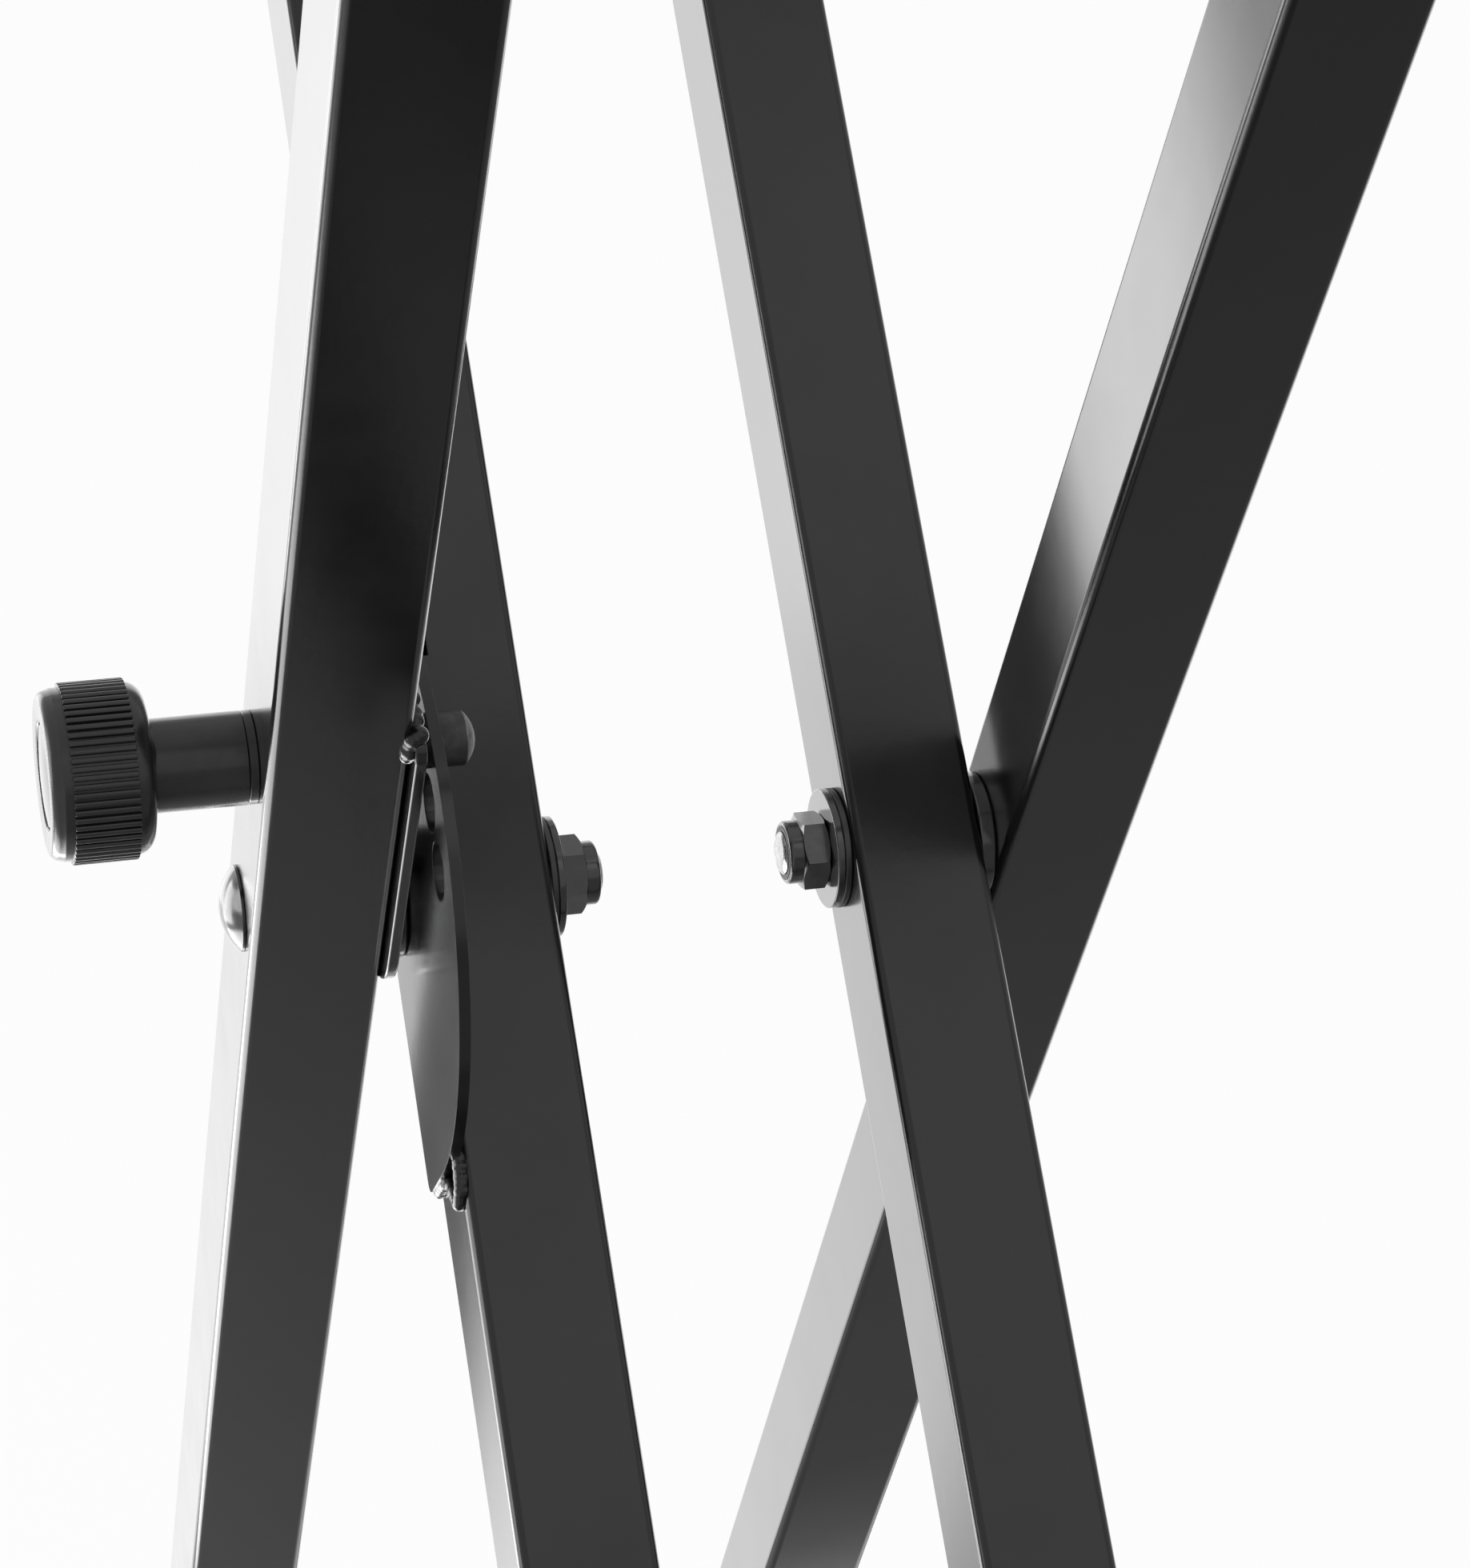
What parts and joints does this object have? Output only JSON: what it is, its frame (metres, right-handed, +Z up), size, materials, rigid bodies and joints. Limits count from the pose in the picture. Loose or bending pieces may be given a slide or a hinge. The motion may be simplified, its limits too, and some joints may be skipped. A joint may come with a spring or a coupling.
{
  "type": "folding keyboard stand",
  "caption": "Double-X folding stand of square steel tube. Crossed leaning frames turn on pivot bolts, and a sprung pull-knob pin locks into a drilled height plate.",
  "frame": {"origin": "on the floor, under the middle of the stand", "axes": "+Z up, +Y along the pivot bolts from the pull knob towards the rear legs, X the way the legs spread"},
  "size_m": [0.629, 0.4598, 0.8383],
  "materials": {
    "black_powder_coat": "black gloss powder coat on mild steel",
    "black_rubber": "matt moulded rubber",
    "black_zinc": "black zinc plated steel",
    "plain_steel": "turned steel, lightly oiled",
    "black_nylon": "black nylon",
    "black_moulding": "moulded plastic, semi-gloss"
  },
  "bodies": {
    "outer_frame": {"outer_front_leg": "black_powder_coat", "outer_rear_leg": "black_powder_coat", "outer_top_arm": "black_powder_coat", "outer_foot_bar": "black_powder_coat", "outer_arm_front_sleeve": "black_rubber", "outer_arm_rear_sleeve": "black_rubber", "outer_foot_front_boot": "black_rubber", "outer_foot_rear_boot": "black_rubber", "outer_leg_inserts": "plain_steel", "outer_arm_bolts": "black_zinc", "outer_foot_bolts": "black_zinc", "guide_plate": "black_powder_coat", "plunger_housing": "black_zinc", "plunger_spring": "plain_steel", "front_pivot_bolt": "black_zinc", "rear_pivot_bolt": "black_zinc", "front_pivot_spacer": "black_zinc", "rear_pivot_spacer": "black_zinc", "pivot_slide_washers": "black_nylon", "pivot_clamp_washers": "black_zinc", "pivot_lock_nuts": "black_zinc", "lock_nut_rings": "black_nylon"},
    "inner_frame": {"inner_front_leg": "black_powder_coat", "inner_rear_leg": "black_powder_coat", "inner_top_arm": "black_powder_coat", "inner_foot_bar": "black_powder_coat", "inner_arm_front_sleeve": "black_rubber", "inner_arm_rear_sleeve": "black_rubber", "inner_foot_front_boot": "black_rubber", "inner_foot_rear_boot": "black_rubber", "inner_leg_inserts": "plain_steel", "inner_arm_bolts": "black_zinc", "inner_foot_bolts": "black_zinc", "lock_plate": "black_powder_coat", "front_pivot_bush": "plain_steel", "rear_pivot_bush": "plain_steel"},
    "plunger": {"plunger_pin": "plain_steel", "plunger_knob": "black_moulding", "plunger_knob_cap": "black_moulding", "plunger_collar": "plain_steel", "plunger_knob_nut": "plain_steel"}
  },
  "joints": [
    {"name": "fold", "type": "hinge", "parent": "outer_frame", "child": "inner_frame", "pos_m": [0, 0, 0.41993], "axis": [0, -1, 0], "range_deg": [-60, 30]},
    {"name": "plunger_pull", "type": "slide", "parent": "outer_frame", "child": "plunger", "axis": [0, -1, 0], "range_m": [0, 0.0135], "stiffness_N_per_m": 1200, "springref_m": -0.01, "deforming": ["plunger_spring"]}
  ]
}
